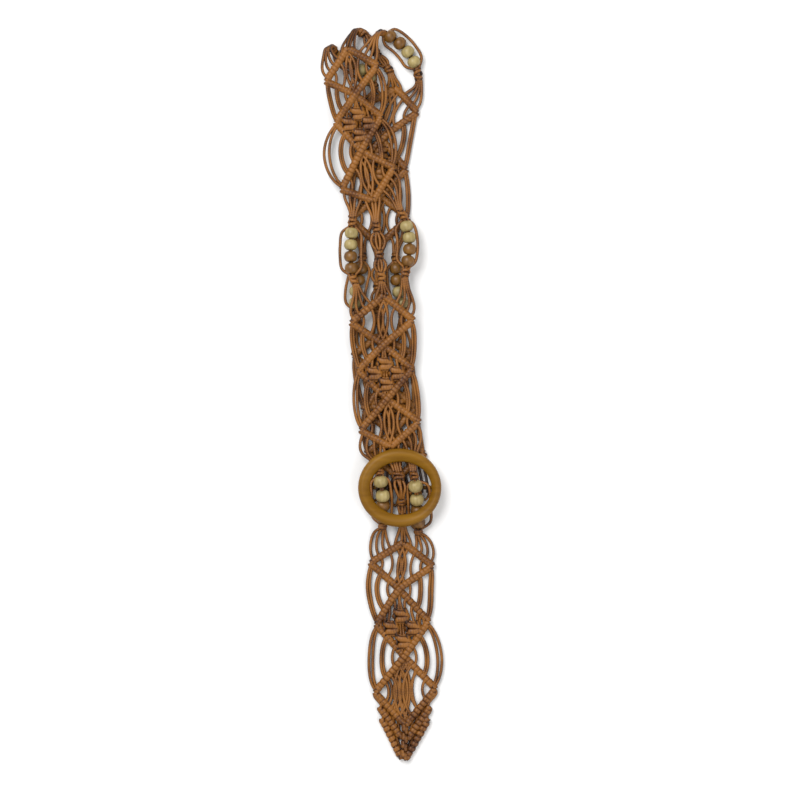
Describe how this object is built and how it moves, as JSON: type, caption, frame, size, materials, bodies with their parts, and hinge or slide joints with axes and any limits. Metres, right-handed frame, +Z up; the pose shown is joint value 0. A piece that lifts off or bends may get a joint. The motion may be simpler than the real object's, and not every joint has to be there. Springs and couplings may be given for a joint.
{
  "type": "braided rope belt",
  "caption": "Belt knotted from waxed cord with diamond panels and wooden beads, folded double, its pointed tip passed through an oval wooden ring buckle.",
  "frame": {"origin": "under the middle of the whole belt, on the surface it lies on", "axes": "+Y along the strap towards the fold, +X across it to the picture's right, +Z up"},
  "size_m": [0.121, 0.74, 0.0253],
  "materials": {
    "cord": "waxed",
    "bead_cream": "satin",
    "bead_brown": "satin",
    "ring_wood": "satin"
  },
  "bodies": {
    "root": {"diamond_panel_1": "cord", "diamond_panel_2": "cord", "diamond_panel_3": "cord", "diamond_panel_4": "cord", "diamond_panel_5": "cord", "left_bead_cords_1": "cord", "bead_1_left_1": "bead_cream", "bead_1_left_2": "bead_cream", "bead_1_left_3": "bead_brown", "bead_1_left_4": "bead_brown", "right_bead_cords_1": "cord", "bead_1_right_1": "bead_cream", "bead_1_right_2": "bead_cream", "bead_1_right_3": "bead_brown", "bead_1_right_4": "bead_brown", "middle_knot_cords_1": "cord", "left_bead_cords_2": "cord", "bead_2_left_1": "bead_cream", "bead_2_left_2": "bead_cream", "bead_2_left_3": "bead_brown", "bead_2_left_4": "bead_brown", "right_bead_cords_2": "cord", "bead_2_right_1": "bead_cream", "bead_2_right_2": "bead_cream", "bead_2_right_3": "bead_brown", "bead_2_right_4": "bead_brown", "middle_knot_cords_2": "cord", "left_bead_cords_3": "cord", "bead_3_left_1": "bead_cream", "bead_3_left_2": "bead_cream", "bead_3_left_3": "bead_brown", "bead_3_left_4": "bead_brown", "right_bead_cords_3": "cord", "bead_3_right_1": "bead_cream", "bead_3_right_2": "bead_cream", "bead_3_right_3": "bead_brown", "bead_3_right_4": "bead_brown", "middle_knot_cords_3": "cord", "left_bead_cords_4": "cord", "bead_4_left_1": "bead_cream", "bead_4_left_2": "bead_cream", "bead_4_left_3": "bead_brown", "bead_4_left_4": "bead_brown", "right_bead_cords_4": "cord", "bead_4_right_1": "bead_cream", "bead_4_right_2": "bead_cream", "bead_4_right_3": "bead_brown", "bead_4_right_4": "bead_brown", "middle_knot_cords_4": "cord", "ring_buckle": "ring_wood"}
  },
  "joints": []
}
